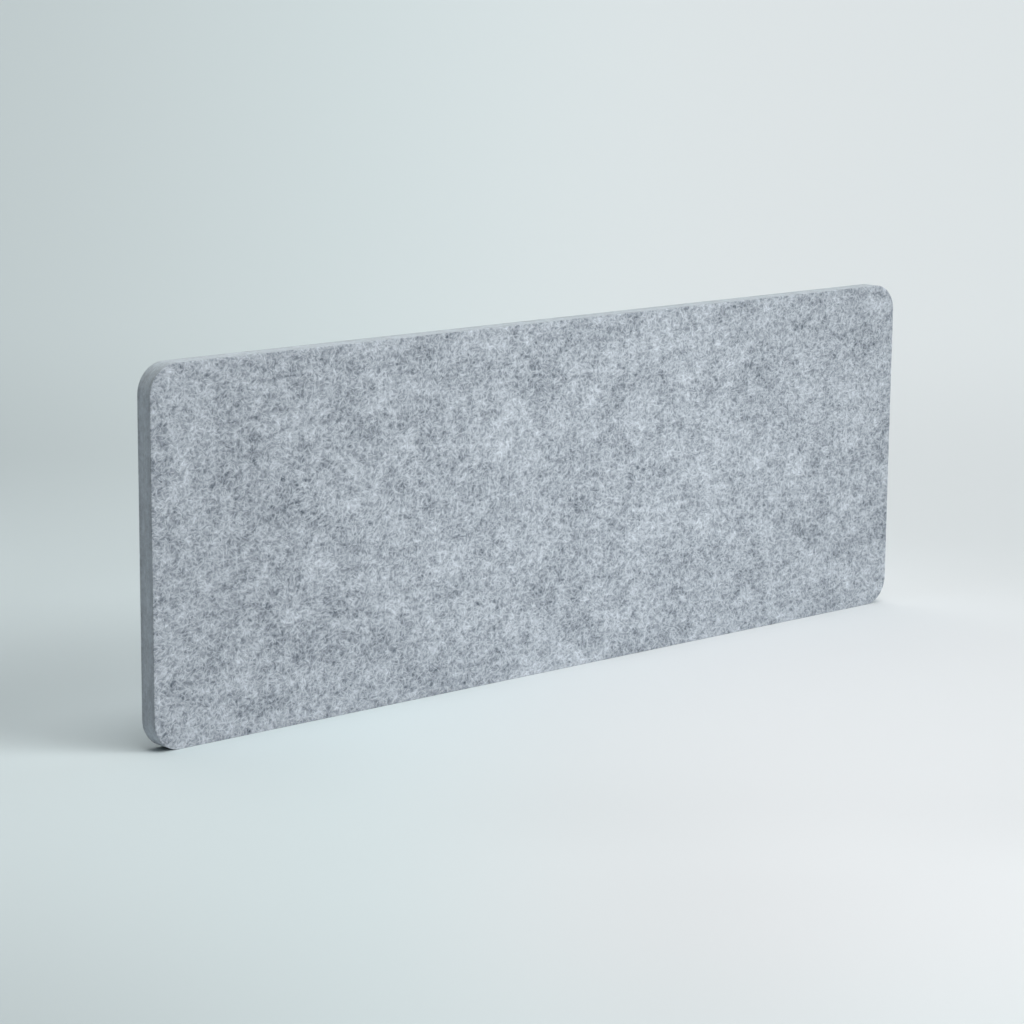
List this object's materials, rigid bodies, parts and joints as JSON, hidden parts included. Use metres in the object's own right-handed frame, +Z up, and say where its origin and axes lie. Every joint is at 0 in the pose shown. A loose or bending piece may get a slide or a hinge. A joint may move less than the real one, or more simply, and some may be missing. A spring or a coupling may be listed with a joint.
{
  "type": "acoustic divider screen",
  "caption": "Low felt divider screen for a desk: a long slab with rounded corners, made of pressed felt boards bonded face to face with an adhesive web.",
  "frame": {"origin": "middle of the bottom edge: halfway along the width and halfway through the thickness, on the surface that the screen stands on", "axes": "+X along the width, +Y through the thickness from the front face to the back face, +Z up"},
  "size_m": [1.2, 0.024, 0.43],
  "materials": {
    "felt_front": "matte",
    "felt_back": "matte",
    "adhesive_web": "satin"
  },
  "bodies": {
    "root": {"front_board": "felt_front", "bond_web": "adhesive_web", "back_board": "felt_back"}
  },
  "joints": []
}
